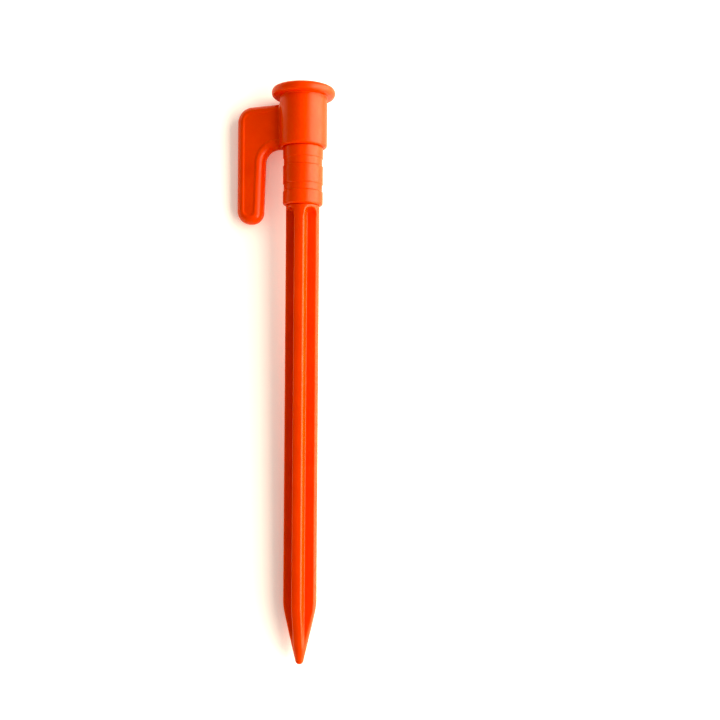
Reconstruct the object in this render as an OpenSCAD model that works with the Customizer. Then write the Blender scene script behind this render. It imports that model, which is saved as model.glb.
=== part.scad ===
// Heavy moulded tent stake with a strike flange, a side hook for the guy line,
// a banded neck collar and a cross-ribbed shaft.
// Frame: +Z runs up the stake's axis to the strike face, the hook is on the -X side.
// Origin: on the axis, level with the hook's lower end, where the soil surface is
// when the stake is driven home.

/* [Overall] */
// Length from the point to the strike face
overall_len = 300; // [260:1:340]
// Height of the strike face above the soil line
above_soil = 70.3; // [66:0.1:75]

/* [Head] */
// Diameter of the strike flange
flange_d = 33; // [30:0.1:36]
// Thickness of the strike flange
flange_t = 4.8; // [4.6:0.1:6]
// Radius on both edges of the flange
flange_edge_r = 2.2; // [0.5:0.1:2.2]
// Diameter of the barrel
barrel_d = 24.8; // [24:0.1:27]
// Height of the head, from the barrel's lower lip to the strike face
head_h = 30.8; // [30:0.1:33]
// Radius on the lower lip of the barrel and of the collar
lip_r = 1.5; // [0.5:0.1:1.6]

/* [Hook] */
// Distance from the axis to the hook's outer edge
hook_reach = 35.1; // [32:0.1:38]
// Thickness of the hook, which is round on all its edges
hook_t = 9.4; // [8:0.1:10]
// Distance from the axis to the arm's inner face, where the gap's corner begins
gap_reach = 20; // [18:0.1:21]
// Angle at which the arm narrows towards its end
arm_taper = 2; // [0:0.5:5]
// Distance from the strike face down to the hook's top edge, at the barrel
hook_top_drop = 7.8; // [7:0.1:12]
// Slope of the hook's top edge, down and away from the barrel
hook_top_slope = 3.5; // [0:0.5:5]
// Radius of the hook's outer corner
outer_corner_r = 8.2; // [6:0.1:10]
// Radius in the corner of the gap
gap_corner_r = 7.1; // [5:0.1:8]
// Distance from the barrel's lower lip down to the hook's lower edge, beside the collar
bridge_drop = 0.6; // [0:0.1:1]
// Radius at the outer side of the arm's end
end_outer_r = 7.3; // [5:0.1:7.4]
// Radius at the inner side of the arm's end
end_inner_r = 6.3; // [5:0.1:6.4]
// Width of the rim round the sunk panel on each face of the hook
rim_w = 4.3; // [4:0.1:4.6]
// Depth of the sunk panels
panel_depth = 0.5; // [0.2:0.1:0.8]

/* [Neck collar] */
// Diameter of the collar
collar_d = 20.8; // [19:0.1:22]
// Length of the collar
collar_len = 30.2; // [28:0.1:32]
// Depth of the collar's two grooves
groove_depth = 0.4; // [0.2:0.05:0.8]
// Height of the lower groove
lower_groove_h = 3.8; // [2:0.1:5]
// Height of the upper groove
upper_groove_h = 4; // [2:0.1:5]
// Middle of the lower groove above the collar's lower end
lower_groove_z = 9.1; // [8:0.1:10]
// Middle of the upper groove above the collar's lower end
upper_groove_z = 22.4; // [21:0.1:24]

/* [Shaft] */
// Diameter across the ribs
shaft_d = 17.4; // [16:0.1:18]
// Thickness of a rib
rib_t = 5.6; // [5:0.1:6]
// Radius in the root of each valley
root_r = 0.8; // [0.4:0.1:1.2]
// Length of the point
point_len = 30.2; // [25:0.1:40]
// Radius of the rounded tip
tip_r = 2.2; // [1.5:0.1:3]
// Length of plain round shaft between the collar and the tops of the valleys
scoop_drop = 1.2; // [0.5:0.1:3]

/* [Joint] */
// Diameter of the shaft's tenon
tenon_d = 12; // [11:0.1:12.5]
// Depth of the socket in the head
socket_depth = 23; // [20:0.5:24]
// Radial play between the tenon and what is round it
fit_gap = 0.05; // [0.03:0.01:0.1]
// Height of the snap bead on the tenon
bead_h = 0.4; // [0.2:0.05:0.6]
// Width of the key rib on the tenon
key_w = 3; // [2:0.1:4]
// Height of the key rib on the tenon
key_h = 1; // [0.5:0.1:1.2]

/* [Hidden] */
$fn = 96;

orange = [1, 0.3, 0.02];
top_z = above_soil;
head_z = top_z - head_h;
collar_z = head_z - collar_len;
point_z = top_z - overall_len;
shoulder_z = point_z + point_len;
socket_top_z = head_z + socket_depth;
tenon_top_z = socket_top_z - 0.5;
tenon_root_z = collar_z - 1;
bead_z = tenon_top_z - 5;
bead_r = 2.5 * bead_h;
tenon_r = tenon_d / 2;
shaft_r = shaft_d / 2;
rib_half = rib_t / 2;
// Round edge of the hook, and the places of its outline's corners
edge_r = hook_t / 2;
root_x = -9;
hook_top_z = top_z - hook_top_drop;
top_n = 90 + hook_top_slope;
outer_c = [
    -hook_reach + outer_corner_r,
    hook_top_z - (outer_corner_r - (hook_reach - outer_corner_r - barrel_d / 2) * cos(top_n)) / sin(top_n)
];
gap_c = [-gap_reach + gap_corner_r, head_z - bridge_drop - gap_corner_r];
end_outer_c = [-hook_reach + end_outer_r, end_outer_r];
inner_line = gap_c * [cos(arm_taper), -sin(arm_taper)] - gap_corner_r;
end_inner_c = [
    (inner_line - end_inner_r + end_inner_r * sin(arm_taper)) / cos(arm_taper),
    end_inner_r
];
arc_steps = 10;
layer_steps = 12;
// Cone of the point, tangent to the round tip
tip_c_z = point_z + tip_r;
cone_half = cone_angle(20);

// Half angle of the cone that meets the shaft at the shoulder and touches the tip's sphere
function cone_angle(steps, a = 12) =
    steps == 0 ? a :
    cone_angle(steps - 1, atan((shaft_r - tip_r / cos(a)) / (shoulder_z - tip_c_z)));

function arc(c, r, from, to) = [
    for (i = [0:arc_steps])
        let (a = from + (to - from) * i / arc_steps) c + r * [cos(a), sin(a)]
];

// Outline of the hook in X and Z, moved inwards by inset
function hook_outline(inset) = concat(
    [[root_x, outer_c.y + (outer_corner_r - inset - (root_x - outer_c.x) * cos(top_n)) / sin(top_n)]],
    arc(outer_c, outer_corner_r - inset, top_n, 180),
    arc(end_outer_c, end_outer_r - inset, 180, 270),
    arc(end_inner_c, end_inner_r - inset, 270, 360 - arm_taper),
    arc(gap_c, gap_corner_r + inset, 180 - arm_taper, 90),
    [[root_x, gap_c.y + gap_corner_r + inset]]
);

// The hook without its panels, in layers that follow its round edge
module hook_blank() {
    layers = [
        for (i = [0:layer_steps])
            let (a = -90 + 180 * i / layer_steps)
                [edge_r * sin(a), hook_outline(edge_r * (1 - cos(a)))]
    ];
    count = len(layers[0][1]);
    points = [for (layer = layers) for (p = layer[1]) [p.x, layer[0], p.y]];
    sides = [
        for (i = [0:layer_steps - 1])
            for (j = [0:count - 1])
                let (a = i * count + j, b = i * count + (j + 1) % count)
                    [a, b, b + count, a + count]
    ];
    // Each flat face is a strip of quads from the outline's outer side to its inner side
    front = [for (j = [0:count / 2 - 2]) [count - 1 - j, count - 2 - j, j + 1, j]];
    top = layer_steps * count;
    back = [for (j = [0:count / 2 - 2]) [top + j, top + j + 1, top + count - 2 - j, top + count - 1 - j]];
    polyhedron(points, concat(front, back, sides));
}

module hook() {
    difference() {
        hook_blank();
        for (side = [-1, 1])
            translate([0, side * edge_r, 0]) rotate([90, 0, 0])
                linear_extrude(2 * panel_depth, center = true) polygon(hook_outline(rim_w));
        // Room for the collar, which passes behind the hook's lower edge
        translate([0, 0, head_z - 2]) cylinder(r = collar_d / 2 + fit_gap, h = 2);
    }
}

// Half section of a round piece of radius r from z0 to z1, with a rounded upper and lower edge
module round_half_section(r, z0, z1, lower_r, upper_r) {
    translate([0, z0 + lower_r]) square([r, z1 - z0 - lower_r - upper_r]);
    translate([0, z0]) square([r - max(lower_r, upper_r), z1 - z0]);
    translate([r - lower_r, z0 + lower_r]) circle(lower_r);
    if (upper_r > 0) translate([r - upper_r, z1 - upper_r]) circle(upper_r);
}

// Hole that takes the tenon and its key, from z0 to z1
module tenon_hole(z0, z1) {
    translate([0, 0, z0]) cylinder(r = tenon_r + fit_gap, h = z1 - z0);
    key(z0, z1, fit_gap);
}

// Key rib along the tenon, grown by play on every side
module key(z0, z1, play) {
    translate([0, -key_w / 2 - play, z0])
        cube([tenon_r + key_h + play, key_w + 2 * play, z1 - z0]);
}

// Ring with a round section round the tenon, that stands out by bead_h
module bead(play) {
    translate([0, 0, bead_z]) rotate_extrude()
        translate([tenon_r + bead_h - bead_r, 0]) circle(bead_r + play);
}

module hook_head() {
    color(orange) difference() {
        union() {
            rotate_extrude() {
                round_half_section(barrel_d / 2, head_z, top_z - flange_t / 2, lip_r, 0);
                round_half_section(flange_d / 2, top_z - flange_t, top_z, flange_edge_r, flange_edge_r);
            }
            hook();
        }
        tenon_hole(head_z - 1, socket_top_z);
        bead(fit_gap);
    }
}

module groove_section(z, h) {
    translate([collar_d / 2 - groove_depth, z - h / 2]) square([groove_depth + 1, h]);
}

module neck_collar() {
    color(orange) difference() {
        rotate_extrude() difference() {
            round_half_section(collar_d / 2, collar_z, head_z, lip_r, 0);
            groove_section(collar_z + lower_groove_z, lower_groove_h);
            groove_section(collar_z + upper_groove_z, upper_groove_h);
        }
        tenon_hole(collar_z - 1, head_z + 1);
    }
}

// Section of one valley, with its root rounded
module valley_section() {
    span = shaft_r;
    translate([rib_half + root_r, rib_half]) square(span);
    translate([rib_half, rib_half + root_r]) square(span);
    translate([rib_half + root_r, rib_half + root_r]) circle(root_r);
}

// One valley, straight from below the point to a round scoop under the collar
module valley() {
    scoop_r = shaft_r * sin(45 - asin(rib_half / shaft_r));
    scoop_z = collar_z - scoop_drop - scoop_r;
    intersection() {
        translate([0, 0, point_z - 1]) linear_extrude(scoop_z + scoop_r - point_z + 2) valley_section();
        rotate([0, 0, 45]) union() {
            translate([0, -shaft_r, point_z - 2]) cube([2 * shaft_r, 2 * shaft_r, scoop_z - point_z + 2]);
            translate([0, 0, scoop_z]) rotate([0, 90, 0]) cylinder(r = scoop_r, h = 2 * shaft_r);
        }
    }
}

module point_and_shank() {
    tangent = [tip_r * cos(cone_half), tip_c_z - tip_r * sin(cone_half)];
    rotate_extrude() {
        polygon([[0, tangent.y], tangent, [shaft_r, shoulder_z], [shaft_r, collar_z], [0, collar_z]]);
        intersection() {
            translate([0, tip_c_z]) circle(tip_r);
            translate([0, point_z]) square(tip_r);
        }
    }
}

module ribbed_shaft() {
    color(orange) {
        difference() {
            point_and_shank();
            for (turn = [0:90:270]) rotate([0, 0, turn]) valley();
        }
        translate([0, 0, tenon_root_z]) cylinder(r = tenon_r, h = tenon_top_z - tenon_root_z);
        key(tenon_root_z, tenon_top_z, 0);
        bead(0);
    }
}

hook_head();
neck_collar();
ribbed_shaft();
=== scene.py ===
from math import atan, cos, pi, radians, sin, sqrt

import bpy
import numpy as np
from mathutils import Matrix, Vector


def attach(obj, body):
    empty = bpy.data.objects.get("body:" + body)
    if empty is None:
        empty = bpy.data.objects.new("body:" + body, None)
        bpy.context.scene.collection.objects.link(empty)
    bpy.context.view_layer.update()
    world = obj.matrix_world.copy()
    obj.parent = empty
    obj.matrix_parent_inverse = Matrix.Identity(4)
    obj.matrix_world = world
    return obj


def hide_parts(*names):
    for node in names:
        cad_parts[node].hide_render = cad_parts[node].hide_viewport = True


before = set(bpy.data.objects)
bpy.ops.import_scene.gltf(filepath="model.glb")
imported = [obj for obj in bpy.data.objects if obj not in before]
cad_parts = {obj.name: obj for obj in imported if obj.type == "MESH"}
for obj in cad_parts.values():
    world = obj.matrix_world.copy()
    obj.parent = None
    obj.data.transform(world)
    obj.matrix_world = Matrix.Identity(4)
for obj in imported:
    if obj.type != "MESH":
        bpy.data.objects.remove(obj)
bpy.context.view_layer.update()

# A moulded tent stake: a head with a strike flange and a side hook, a banded neck
# collar, and a cross-ribbed shaft. Shapes are signed distance fields in millimetres,
# meshed on a grid and settled onto the exact surface. The row frame has +Z up the
# axis and the hook on -X, with the soil line at z = 0.

MM = 0.001
# Meshing: the step for slopes, the least squared slope trusted, and the longest single move
NORMAL_STEP = 0.01
LEAST_SLOPE = 0.05
LONGEST_MOVE = 0.3
TINY = 1e-9

# Heights along the axis
TOP_Z = 70.3
HEAD_Z = 39.5
COLLAR_Z = 9.3
SHOULDER_Z = -199.5
POINT_Z = -229.7
SOCKET_TOP_Z = 62.5
TENON_TOP_Z = 62.0
BEAD_Z = 57.0

# Head
BARREL_R = 12.4
FLANGE_R = 16.5
FLANGE_T = 4.8
FLANGE_EDGE_R = 2.2
LIP_R = 1.5
UNDER_FLANGE_R = 0.5
GATE_R = 1.7
GATE_DEPTH = 0.25
GATE_SOFT_R = 0.2

# Hook, in the XZ plane; HOOK_TOP_N is the direction that its top edge faces
HOOK_EDGE_R = 4.7
HOOK_OUTER_X = -35.1
HOOK_TOP_N = radians(93.5)
HOOK_TOP_Z = 62.5
HOOK_TAPER = radians(2.0)
HOOK_ROOT_X = -9.0
OUTER_R = 8.2
END_OUTER_R = 7.3
END_INNER_R = 6.3
GAP_R = 7.1
GAP_C = (-12.9, 31.8)
RIM_W = 4.3
PANEL_DEPTH = 0.5
PANEL_SOFT_R = 0.7
HOOK_ROOT_R = 0.8

# Collar
COLLAR_R = 10.4
GROOVE_DEPTH = 0.4
GROOVES = ((18.4, 3.8), (31.7, 4.0))
GROOVE_WALL = 0.55
SEAM_R = 0.25

# Shaft
SHAFT_R = 8.7
RIB_HALF = 2.8
RIB_EDGE_R = 1.0
ROOT_R = 0.8
TIP_R = 2.2
SCOOP_DROP = 1.2
SCOOP_SLOPE = 0.5
SCOOP_ROOT_R = 1.2
SCOOP_FLARE = 0.6
SHOULDER_SOFT = 0.8

# Hidden joint
TENON_R = 6.0
TENON_ROOT_DROP = 2.0
FIT_GAP = 0.05
BEAD_H = 0.4
BEAD_R = 1.0
KEY_W = 3.0
KEY_H = 1.0

# Grid stops: a place, then the greatest spacing up to the next place
HEAD_STOPS = (
    ((-35.9, 0.32), (17.4, 0)),
    ((-17.4, 0.32), (17.4, 0)),
    ((-0.9, 0.32), (71.2, 0)),
)
COLLAR_STOPS = (
    ((-11.3, 0.33), (11.3, 0)),
    ((-11.3, 0.33), (11.3, 0)),
    ((8.6, 0.25), (40.2, 0)),
)
SHAFT_STOPS = (
    ((-9.05, 0.33), (9.05, 0)),
    ((-9.05, 0.33), (9.05, 0)),
    ((-230.3, 0.3), (-225.0, 0.5), (-195.0, 2.5), (-3.0, 0.3), (10.0, 0.8), (62.9, 0)),
)

# Plastic, linear colours
PLASTIC_DARK = (0.74, 0.070, 0.0012, 1)
PLASTIC_LIGHT = (0.82, 0.082, 0.0016, 1)


# ---- signed distance pieces ----

def round_union(a, b, r):
    """Either a or b, with a fillet of radius r where they meet."""
    return np.maximum(r, np.minimum(a, b)) - np.hypot(np.maximum(r - a, 0), np.maximum(r - b, 0))


def round_cut(a, b, r):
    """The part common to a and b, with a round edge of radius r."""
    return np.minimum(-r, np.maximum(a, b)) + np.hypot(np.maximum(r + a, 0), np.maximum(r + b, 0))


def soft_cut(a, b, k):
    """The part common to a and b, for surfaces that meet at a shallow angle."""
    h = np.maximum(k - np.abs(a - b), 0) / k
    return np.maximum(a, b) + h * h * k / 4


def toward(px, pz, centre, start, end):
    """Distance from centre, and whether a point lies between two directions from it."""
    sx = px - centre[0]
    sz = pz - centre[1]
    inside = (cos(start) * sz - sin(start) * sx >= 0) & (sx * sin(end) - sz * cos(end) >= 0)
    return np.hypot(sx, sz), inside


def key_bar(x, y, play):
    return np.maximum(np.abs(y) - KEY_W / 2 - play, np.maximum(x - TENON_R - KEY_H - play, -x))


def bead(rad, z, play):
    return np.hypot(rad - (TENON_R + BEAD_H - BEAD_R), z - BEAD_Z) - BEAD_R - play


def tenon_hole(x, y, rad):
    return np.minimum(rad - TENON_R - FIT_GAP, key_bar(x, y, FIT_GAP))


def line(x, z, n, through):
    return (x - through[0]) * cos(n) + (z - through[1]) * sin(n)


def hook_outline(x, z):
    """Signed distance to the hook's outline in the XZ plane."""
    outer_x = HOOK_OUTER_X + OUTER_R
    top_drop = (OUTER_R + (BARREL_R + outer_x) * cos(HOOK_TOP_N)) / sin(HOOK_TOP_N)
    outer_c = (outer_x, HOOK_TOP_Z - top_drop)
    end_outer_c = (HOOK_OUTER_X + END_OUTER_R, END_OUTER_R)
    inner_reach = (GAP_C[1] - END_INNER_R) * sin(HOOK_TAPER) + GAP_R + END_INNER_R
    end_inner_c = (GAP_C[0] - inner_reach / cos(HOOK_TAPER), END_INNER_R)
    top = line(x, z, HOOK_TOP_N, outer_c) - OUTER_R
    side = HOOK_OUTER_X - x
    bottom = -z
    inner = line(x, z, -HOOK_TAPER, GAP_C) + GAP_R
    gap_top = GAP_C[1] + GAP_R - z
    reach, near = toward(x, z, GAP_C, pi / 2, pi - HOOK_TAPER)
    inner_side = np.where(near, GAP_R - reach, np.minimum(inner, gap_top))
    reach, near = toward(x, z, outer_c, HOOK_TOP_N, pi)
    shape = np.where(near, reach - OUTER_R, np.maximum(top, side))
    reach, near = toward(x, z, end_outer_c, pi, 1.5 * pi)
    shape = np.maximum(shape, np.where(near, reach - END_OUTER_R, np.maximum(side, bottom)))
    reach, near = toward(x, z, end_inner_c, 1.5 * pi, 2 * pi - HOOK_TAPER)
    return np.maximum(shape, np.where(near, reach - END_INNER_R, np.maximum(bottom, inner_side)))


def hook(x, y, z):
    flat = hook_outline(x, z)
    inset = flat + HOOK_EDGE_R
    side = np.abs(y)
    blank = np.where(inset > 0, np.hypot(inset, side), side) - HOOK_EDGE_R
    panel = round_cut(flat + RIM_W, HOOK_EDGE_R - PANEL_DEPTH - side, PANEL_SOFT_R)
    solid = np.maximum(round_cut(blank, -panel, PANEL_SOFT_R), x - HOOK_ROOT_X)
    beside_collar = np.maximum(np.hypot(x, y) - COLLAR_R - FIT_GAP, z - HEAD_Z)
    return np.maximum(solid, -beside_collar)


def head_field(x, y, z):
    rad = np.hypot(x, y)
    barrel = np.maximum(round_cut(rad - BARREL_R, HEAD_Z - z, LIP_R), z - (TOP_Z - FLANGE_T / 2))
    across = rad - (FLANGE_R - FLANGE_EDGE_R)
    along = np.abs(z - (TOP_Z - FLANGE_T / 2)) - (FLANGE_T / 2 - FLANGE_EDGE_R)
    flange = np.hypot(np.maximum(across, 0), np.maximum(along, 0))
    flange = flange + np.minimum(np.maximum(across, along), 0) - FLANGE_EDGE_R
    gate = round_cut(rad - GATE_R, TOP_Z - GATE_DEPTH - z, GATE_SOFT_R)
    flange = round_cut(flange, -gate, GATE_SOFT_R)
    solid = round_union(barrel, flange, UNDER_FLANGE_R)
    solid = round_union(solid, hook(x, y, z), HOOK_ROOT_R)
    socket = np.maximum(tenon_hole(x, y, rad), z - SOCKET_TOP_Z)
    socket = np.minimum(socket, bead(rad, z, FIT_GAP))
    return np.maximum(solid, -socket)


def collar_field(x, y, z):
    rad = np.hypot(x, y)
    outer = COLLAR_R
    for middle, height in GROOVES:
        depth = (height / 2 + GROOVE_WALL / 2 - np.abs(z - middle)) / GROOVE_WALL
        depth = np.clip(depth, 0, 1)
        outer = outer - GROOVE_DEPTH * depth * depth * (3 - 2 * depth)
    solid = round_cut(rad - outer, COLLAR_Z - z, LIP_R)
    solid = round_cut(solid, z - HEAD_Z, SEAM_R)
    return np.maximum(solid, -tenon_hole(x, y, rad))


def cone_half():
    """Half angle of the cone that meets the shoulder and touches the tip's sphere."""
    a = radians(12)
    for _ in range(20):
        a = atan((SHAFT_R - TIP_R / cos(a)) / (SHOULDER_Z - POINT_Z - TIP_R))
    return a


CONE_HALF = cone_half()


def shaft_field(x, y, z):
    rad = np.hypot(x, y)
    ax = np.abs(x)
    ay = np.abs(y)
    cross = round_union(ax - RIB_HALF, ay - RIB_HALF, ROOT_R)
    scoop_r = SHAFT_R * sin(pi / 4 - np.arcsin(RIB_HALF / SHAFT_R))
    scoop_z = COLLAR_Z - SCOOP_DROP - scoop_r - SCOOP_SLOPE * (SHAFT_R - rad)
    over = z - scoop_z
    across = (ay - ax) / sqrt(2)
    fill = scoop_r - np.hypot(across, np.maximum(over, 0)) + SCOOP_FLARE * np.maximum(-over, 0)
    ribs = round_union(cross, fill, SCOOP_ROOT_R)
    cone = (rad - SHAFT_R) * cos(CONE_HALF) - (z - SHOULDER_Z) * sin(CONE_HALF)
    tip_z = z - POINT_Z - TIP_R
    in_tip = tip_z * cos(CONE_HALF) + rad * sin(CONE_HALF) <= 0
    round_body = soft_cut(rad - SHAFT_R, cone, SHOULDER_SOFT)
    round_body = np.where(in_tip, np.hypot(rad, tip_z) - TIP_R, round_body)
    round_body = round_cut(round_body, z - COLLAR_Z, SEAM_R)
    shank = round_cut(round_body, ribs, RIB_EDGE_R)
    tenon = np.minimum(rad - TENON_R, key_bar(x, y, 0))
    tenon = np.minimum(np.maximum(tenon, z - TENON_TOP_Z), bead(rad, z, 0))
    tenon = np.maximum(tenon, COLLAR_Z - TENON_ROOT_DROP - z)
    return np.minimum(shank, tenon)


# ---- meshing ----

def surface_net(field_of, grid):
    """One point per grid cell that the surface crosses, joined by quads."""
    xs, ys, zs = grid
    field = field_of(xs[:, None, None], ys[None, :, None], zs[None, None, :])
    cells = np.array(field.shape) - 1
    corners = []
    places = []
    for axis in range(3):
        order = [axis, (axis + 1) % 3, (axis + 2) % 3]
        turned = field.transpose(order)
        low, high = turned[:-1], turned[1:]
        hit = np.argwhere((low < 0) != (high < 0))
        a = low[tuple(hit.T)]
        b = high[tuple(hit.T)]
        first = grid[axis]
        start = first[hit[:, 0]]
        place = np.empty(hit.shape)
        place[:, order[0]] = start + (first[hit[:, 0] + 1] - start) * a / (a - b)
        place[:, order[1]] = grid[order[1]][hit[:, 1]]
        place[:, order[2]] = grid[order[2]][hit[:, 2]]
        ring = np.empty((len(hit), 4), dtype=np.int64)
        for slot, (du, dv) in enumerate(((-1, -1), (0, -1), (0, 0), (-1, 0))):
            cell = np.empty_like(hit)
            cell[:, order[0]] = hit[:, 0]
            cell[:, order[1]] = hit[:, 1] + du
            cell[:, order[2]] = hit[:, 2] + dv
            ring[:, slot] = (cell[:, 0] * cells[1] + cell[:, 1]) * cells[2] + cell[:, 2]
        ring[a > 0] = ring[a > 0][:, ::-1]
        corners.append(ring)
        places.append(place)
    corners = np.concatenate(corners)
    places = np.repeat(np.concatenate(places), 4, axis=0)
    _, quads = np.unique(corners.ravel(), return_inverse=True)
    quads = quads.reshape(-1)
    count = np.bincount(quads)
    points = np.stack([np.bincount(quads, weights=places[:, k]) / count for k in range(3)], axis=1)
    return points, quads.reshape(-1, 4)


def slope_of(field_of, p):
    slope = np.empty_like(p)
    for k in range(3):
        step = np.zeros(3)
        step[k] = NORMAL_STEP
        ahead = field_of(*(p + step).T)
        behind = field_of(*(p - step).T)
        slope[:, k] = (ahead - behind) / (2 * NORMAL_STEP)
    return slope


def settle(field_of, p, rounds=5):
    """Moves points onto the surface and returns them with their unit normals."""
    for _ in range(rounds):
        slope = slope_of(field_of, p)
        size = np.maximum((slope * slope).sum(1), LEAST_SLOPE)
        move = field_of(*p.T)[:, None] * slope / size[:, None]
        length = np.linalg.norm(move, axis=1, keepdims=True)
        p = p - move * np.minimum(1, LONGEST_MOVE / np.maximum(length, TINY))
    slope = slope_of(field_of, p)
    return p, slope / np.maximum(np.linalg.norm(slope, axis=1, keepdims=True), TINY)


def spaced(*stops):
    """Grid lines: each stop is a place and the greatest spacing up to the next one."""
    lines = []
    for (start, step), (end, _) in zip(stops, stops[1:]):
        count = int(np.ceil((end - start) / step))
        lines.extend(start + (end - start) * i / count for i in range(count))
    return np.array(lines + [stops[-1][0]])


def make_piece(name, node, field_of, stops, material):
    grid = [spaced(*axis_stops) for axis_stops in stops]
    points, quads = surface_net(field_of, grid)
    points, normals = settle(field_of, points)
    mesh = bpy.data.meshes.new(name)
    mesh.from_pydata((points * MM).tolist(), [], quads.tolist())
    mesh.polygons.foreach_set("use_smooth", [True] * len(quads))
    mesh.normals_split_custom_set_from_vertices(normals.tolist())
    mesh.materials.append(material)
    piece = bpy.data.objects.new(name, mesh)
    bpy.context.scene.collection.objects.link(piece)
    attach(piece, "root")
    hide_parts(node)
    return piece


# ---- material ----

def noise(material, place, scale, detail):
    """A noise texture at place, with its factor as the result."""
    texture = material.node_tree.nodes.new("ShaderNodeTexNoise")
    texture.inputs["Scale"].default_value = scale
    texture.inputs["Detail"].default_value = detail
    material.node_tree.links.new(place.outputs["Vector"], texture.inputs["Vector"])
    return texture.outputs["Fac"]


def moulded_plastic(name, seed):
    """Glossy orange plastic with a faint cloud in its colour, uneven gloss and a fine grain."""
    material = bpy.data.materials.new(name)
    material.use_nodes = True
    nodes = material.node_tree.nodes
    links = material.node_tree.links
    shader = nodes["Principled BSDF"]
    shader.inputs["IOR"].default_value = 1.49
    shader.inputs["Specular IOR Level"].default_value = 0.5
    shader.inputs["Subsurface Weight"].default_value = 0.2
    shader.inputs["Subsurface Scale"].default_value = 0.002
    coords = nodes.new("ShaderNodeTexCoord")
    place = nodes.new("ShaderNodeMapping")
    place.inputs["Location"].default_value = (seed * 0.37, seed * 0.11, seed * 0.23)
    links.new(coords.outputs["Object"], place.inputs["Vector"])

    colour = nodes.new("ShaderNodeValToRGB")
    colour.color_ramp.elements[0].position = 0.3
    colour.color_ramp.elements[0].color = PLASTIC_DARK
    colour.color_ramp.elements[1].position = 0.7
    colour.color_ramp.elements[1].color = PLASTIC_LIGHT
    links.new(noise(material, place, 70.0, 4.0), colour.inputs["Fac"])
    links.new(colour.outputs["Color"], shader.inputs["Base Color"])

    roughness = nodes.new("ShaderNodeMapRange")
    roughness.inputs["From Min"].default_value = 0.3
    roughness.inputs["From Max"].default_value = 0.7
    roughness.inputs["To Min"].default_value = 0.30
    roughness.inputs["To Max"].default_value = 0.42
    links.new(noise(material, place, 220.0, 6.0), roughness.inputs["Value"])
    links.new(roughness.outputs["Result"], shader.inputs["Roughness"])

    bump = nodes.new("ShaderNodeBump")
    bump.inputs["Strength"].default_value = 0.05
    bump.inputs["Distance"].default_value = 0.0001
    links.new(noise(material, place, 2000.0, 3.0), bump.inputs["Height"])
    links.new(bump.outputs["Normal"], shader.inputs["Normal"])
    return material


# ---- camera, surface and light ----

VIEW_AZ = radians(13.5)
VIEW_EL = radians(0.0)
VIEW_LEAN = radians(0.43)
VIEW_D = 0.465
LENS = 44.48
SENSOR = 36.0
AIM_Z = -0.0708
AIM_SIDE = 0.03053

# Where the CAD's vertices that touch the surface are looked for, in metres
FLANGE_ABOVE = 0.064
ARM_BEYOND = -0.022
ARM_BELOW = 0.060
SHAFT_END = (-0.205, -0.195)

SURFACE_HALF = 3.0
HALVINGS = 40
WORLD_SEEN = 1.2
WORLD_FILL = 0.61
LIGHT_MIDDLE = Vector((0, 0, -0.05))
KEY_RIGHT = 0.60
KEY_OUT = 0.24
KEY_SIZE = (1.05, 1.2)
KEY_POWER = 19.0
KEY_COLOUR = (1.0, 0.95, 0.87)
DISPLAY_GAMMA = 0.8
BLACK_LEVEL = (0.035, 0.035, 0.035)

RIGHT = Vector((cos(VIEW_AZ), sin(VIEW_AZ), 0))
TO_CAMERA = Vector((sin(VIEW_AZ) * cos(VIEW_EL), -cos(VIEW_AZ) * cos(VIEW_EL), sin(VIEW_EL)))


def looking(place, target, lean=0.0):
    """World matrix at place, with -Z towards target and +Y up, leaning by a roll."""
    turn = (target - place).to_track_quat("-Z", "Y").to_matrix().to_4x4()
    return Matrix.Translation(place) @ turn @ Matrix.Rotation(lean, 4, "Z")


def make_camera():
    data = bpy.data.cameras.new("camera")
    data.lens = LENS
    data.sensor_width = SENSOR
    camera = bpy.data.objects.new("camera", data)
    bpy.context.scene.collection.objects.link(camera)
    centre = Vector((0, 0, AIM_Z))
    camera.matrix_world = looking(centre + TO_CAMERA * VIEW_D, centre + RIGHT * AIM_SIDE, VIEW_LEAN)
    bpy.context.scene.camera = camera


def contact_plane():
    """The plane the stake lies on: it touches the flange, the hook and the shaft's end."""
    points = []
    for node in ("hook_head", "ribbed_shaft"):
        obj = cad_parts[node]
        points.extend(tuple(v.co) for v in obj.data.vertices)
    points = np.array(points)
    flange = points[points[:, 2] > FLANGE_ABOVE]
    arm = points[(points[:, 0] < ARM_BEYOND) & (points[:, 2] < ARM_BELOW)]
    low = points[(points[:, 2] < SHAFT_END[1]) & (points[:, 2] > SHAFT_END[0])]

    def normal(turn, pitch):
        return np.array((sin(turn) * cos(pitch), -cos(turn) * cos(pitch), sin(pitch)))

    def level_pitch(turn):
        lo, hi = 0.0, radians(5)
        for _ in range(HALVINGS):
            mid = (lo + hi) / 2
            n = normal(turn, mid)
            lo, hi = (mid, hi) if (flange @ n).min() < (low @ n).min() else (lo, mid)
        return (lo + hi) / 2

    lo, hi = radians(5), radians(40)
    for _ in range(HALVINGS):
        mid = (lo + hi) / 2
        n = normal(mid, level_pitch(mid))
        lo, hi = (mid, hi) if (arm @ n).min() > (flange @ n).min() else (lo, mid)
    n = normal(mid, level_pitch(mid))
    return Vector(n), float((flange @ n).min())


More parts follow.
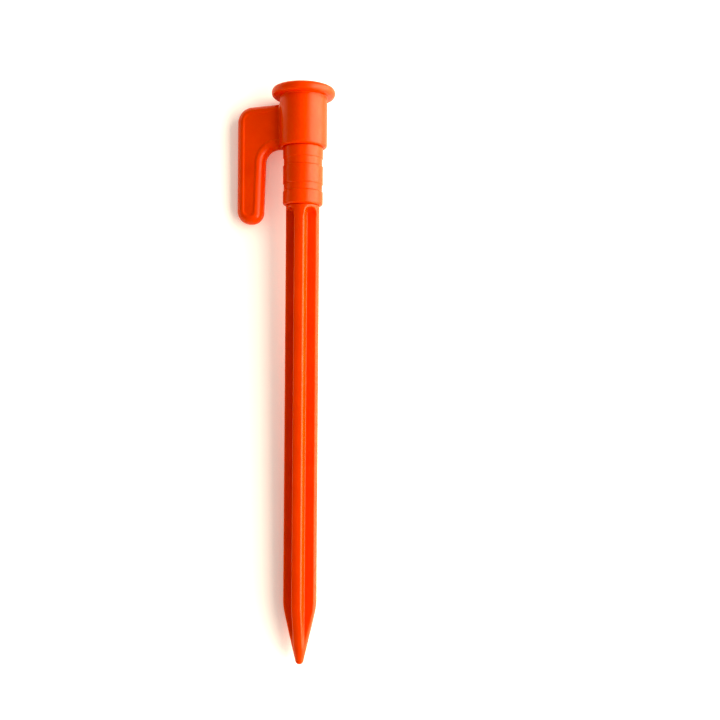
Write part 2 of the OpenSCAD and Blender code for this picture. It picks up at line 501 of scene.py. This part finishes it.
def make_surface(normal, height):
    """A pale, faintly lit sheet behind the stake, clear to rays from its other side."""
    material = bpy.data.materials.new("pale_surface")
    material.use_nodes = True
    nodes = material.node_tree.nodes
    links = material.node_tree.links
    shader = nodes["Principled BSDF"]
    shader.inputs["Base Color"].default_value = (0.96, 0.91, 0.80, 1)
    shader.inputs["Roughness"].default_value = 0.9
    shader.inputs["Emission Color"].default_value = (1.0, 0.96, 0.92, 1)
    shader.inputs["Emission Strength"].default_value = 0.2
    shader.inputs["Specular IOR Level"].default_value = 0.1
    side = nodes.new("ShaderNodeNewGeometry")
    clear = nodes.new("ShaderNodeBsdfTransparent")
    mix = nodes.new("ShaderNodeMixShader")
    links.new(side.outputs["Backfacing"], mix.inputs["Fac"])
    links.new(shader.outputs["BSDF"], mix.inputs[1])
    links.new(clear.outputs["BSDF"], mix.inputs[2])
    links.new(mix.outputs["Shader"], nodes["Material Output"].inputs["Surface"])
    mesh = bpy.data.meshes.new("surface")
    half = SURFACE_HALF
    corners = [(-half, -half, 0), (half, -half, 0), (half, half, 0), (-half, half, 0)]
    mesh.from_pydata(corners, [], [(0, 1, 2, 3)])
    mesh.materials.append(material)
    sheet = bpy.data.objects.new("surface", mesh)
    turn = normal.to_track_quat("Z", "Y").to_matrix().to_4x4()
    sheet.matrix_world = Matrix.Translation(normal * height) @ turn
    bpy.context.scene.collection.objects.link(sheet)


def area_light(name, place, target, size, power, colour):
    data = bpy.data.lights.new(name, "AREA")
    data.shape = "RECTANGLE"
    data.size, data.size_y = size
    data.energy = power
    data.color = colour
    light = bpy.data.objects.new(name, data)
    light.matrix_world = looking(place, target)
    bpy.context.scene.collection.objects.link(light)


def make_world(seen, fill):
    """White to the camera, and a dimmer fill to everything else."""
    world = bpy.data.worlds.new("world")
    bpy.context.scene.world = world
    world.use_nodes = True
    nodes = world.node_tree.nodes
    links = world.node_tree.links
    back = nodes["Background"]
    back.inputs["Color"].default_value = (1, 1, 1, 1)
    path = nodes.new("ShaderNodeLightPath")
    level = nodes.new("ShaderNodeMapRange")
    level.inputs["To Min"].default_value = fill
    level.inputs["To Max"].default_value = seen
    links.new(path.outputs["Is Camera Ray"], level.inputs["Value"])
    links.new(level.outputs["Result"], back.inputs["Strength"])


def set_display():
    """The display's contrast: plain view transform, a darker gamma and a small black level."""
    look = bpy.context.scene.view_settings
    look.view_transform = "Standard"
    look.gamma = DISPLAY_GAMMA
    look.use_curve_mapping = True
    look.curve_mapping.black_level = BLACK_LEVEL
    look.curve_mapping.update()


make_camera()
normal, height = contact_plane()
make_surface(normal, height)
make_world(WORLD_SEEN, WORLD_FILL)
key_place = LIGHT_MIDDLE + RIGHT * KEY_RIGHT + normal * KEY_OUT
area_light("key", key_place, LIGHT_MIDDLE, KEY_SIZE, KEY_POWER, KEY_COLOUR)
set_display()

head = make_piece(
    "hook_head_moulding", "hook_head", head_field, HEAD_STOPS, moulded_plastic("head_plastic", 1))
collar = make_piece(
    "neck_collar_moulding", "neck_collar", collar_field, COLLAR_STOPS, moulded_plastic("collar_plastic", 2))
shaft = make_piece(
    "ribbed_shaft_moulding", "ribbed_shaft", shaft_field, SHAFT_STOPS, moulded_plastic("shaft_plastic", 3))
